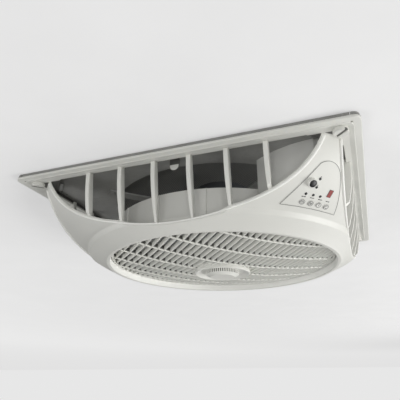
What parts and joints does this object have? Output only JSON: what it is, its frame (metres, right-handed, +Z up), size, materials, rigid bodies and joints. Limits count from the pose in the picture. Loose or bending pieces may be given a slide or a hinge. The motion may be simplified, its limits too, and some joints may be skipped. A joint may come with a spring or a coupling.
{
  "type": "ceiling fan",
  "caption": "Square drop-ceiling fan with an arched cowl, guard ribs over its side intakes, a turning louvre grille, a corner control panel and a hidden motor dome.",
  "frame": {"origin": "centre of the face that meets the ceiling", "axes": "+Z up into the ceiling; the control panel is on the +X, -Y corner"},
  "size_m": [0.595, 0.595, 0.2276],
  "materials": {
    "body_plastic": "fine satin moulded off-white",
    "grille_plastic": "satin moulded off-white",
    "duct_plastic": "satin grey",
    "corner_screw_plastic": "satin pale grey",
    "gasket_foam": "closed-cell foam",
    "deck_steel": "dark grey coated sheet",
    "dome_black": "matt black",
    "bracket_steel": "plated sheet",
    "fastener_steel": "plated",
    "motor_cast": "die cast",
    "bearing_steel": "ground",
    "core_iron": "varnished laminations",
    "blade_plastic": "dark grey moulded",
    "control_box_plastic": "satin grey",
    "board_green": "solder mask",
    "capacitor_shell": "dark sleeve",
    "terminal_plastic": "moulded",
    "gland_plastic": "black nylon",
    "panel_skin": "printed film",
    "button_plastic": "satin off-white",
    "lens_dark": "clear over a dark diode",
    "window_red": "red tinted",
    "sensor_plastic": "satin grey",
    "sensor_black": "infra-red filter",
    "tab_steel": "grey coat"
  },
  "bodies": {
    "housing": {"ceiling_frame": "body_plastic", "ceiling_gasket": "gasket_foam", "deck_plate": "deck_steel", "dome_cover": "dome_black", "dome_screws": "fastener_steel", "hanger_brackets": "bracket_steel", "hanger_rivets": "fastener_steel", "cowl": "body_plastic", "cowl_screws": "fastener_steel", "intake_ribs": "body_plastic", "duct_ring": "duct_plastic", "grille_spider": "duct_plastic", "spider_screws": "fastener_steel", "louver_motor": "motor_cast", "motor_bracket": "bracket_steel", "motor_housing": "motor_cast", "motor_screws": "fastener_steel", "motor_end_cap": "motor_cast", "upper_bearing": "bearing_steel", "lower_bearing": "bearing_steel", "stator_core": "core_iron", "electronics_box": "control_box_plastic", "electronics_lid": "control_box_plastic", "control_board": "board_green", "run_capacitor": "capacitor_shell", "terminal_block": "terminal_plastic", "cable_gland": "gland_plastic", "control_overlay": "panel_skin", "indicator_lenses": "lens_dark", "display_window": "window_red", "sensor_nub": "sensor_plastic", "sensor_lens": "sensor_black", "button_board": "board_green", "tether_tab": "tab_steel"},
    "fan_rotor": {"rotor_shaft": "bearing_steel", "rotor_core": "core_iron", "blade_hub": "blade_plastic", "blade_nut": "fastener_steel", "fan_blades": "blade_plastic"},
    "louver": {"louver_grille": "grille_plastic", "louver_dish": "grille_plastic", "louver_knob": "grille_plastic", "louver_shaft": "bearing_steel"},
    "corner_screw_1": {"corner_screw_1": "corner_screw_plastic"},
    "button_1": {"button_1": "button_plastic"},
    "corner_screw_2": {"corner_screw_2": "corner_screw_plastic"},
    "button_2": {"button_2": "button_plastic"},
    "corner_screw_3": {"corner_screw_3": "corner_screw_plastic"},
    "button_3": {"button_3": "button_plastic"},
    "corner_screw_4": {"corner_screw_4": "corner_screw_plastic"},
    "button_4": {"button_4": "button_plastic"}
  },
  "joints": [
    {"name": "blade_spin", "type": "hinge", "parent": "housing", "child": "fan_rotor", "pos_m": [0, 0, -0.064], "axis": [0, 0, 1], "continuous": true},
    {"name": "louver_spin", "type": "hinge", "parent": "housing", "child": "louver", "pos_m": [0, 0, -0.12], "axis": [0, 0, 1], "continuous": true},
    {"name": "corner_screw_1_turn", "type": "hinge", "parent": "housing", "child": "corner_screw_1", "pos_m": [0.268, 0.268, 0], "axis": [0, 0, 1], "range_deg": [0, 90]},
    {"name": "corner_screw_2_turn", "type": "hinge", "parent": "housing", "child": "corner_screw_2", "pos_m": [-0.268, 0.268, 0], "axis": [0, 0, 1], "range_deg": [0, 90]},
    {"name": "corner_screw_3_turn", "type": "hinge", "parent": "housing", "child": "corner_screw_3", "pos_m": [-0.268, -0.268, 0], "axis": [0, 0, 1], "range_deg": [0, 90]},
    {"name": "corner_screw_4_turn", "type": "hinge", "parent": "housing", "child": "corner_screw_4", "pos_m": [0.268, -0.268, 0], "axis": [0, 0, 1], "range_deg": [0, 90]},
    {"name": "button_1_press", "type": "slide", "parent": "housing", "child": "button_1", "axis": [-0.3514, 0.3853, 0.8533], "range_m": [0, 0.001], "stiffness_N_per_m": 900},
    {"name": "button_2_press", "type": "slide", "parent": "housing", "child": "button_2", "axis": [-0.371, 0.3665, 0.8533], "range_m": [0, 0.001], "stiffness_N_per_m": 900},
    {"name": "button_3_press", "type": "slide", "parent": "housing", "child": "button_3", "axis": [-0.3896, 0.3467, 0.8533], "range_m": [0, 0.001], "stiffness_N_per_m": 900},
    {"name": "button_4_press", "type": "slide", "parent": "housing", "child": "button_4", "axis": [-0.4071, 0.326, 0.8533], "range_m": [0, 0.001], "stiffness_N_per_m": 900}
  ]
}
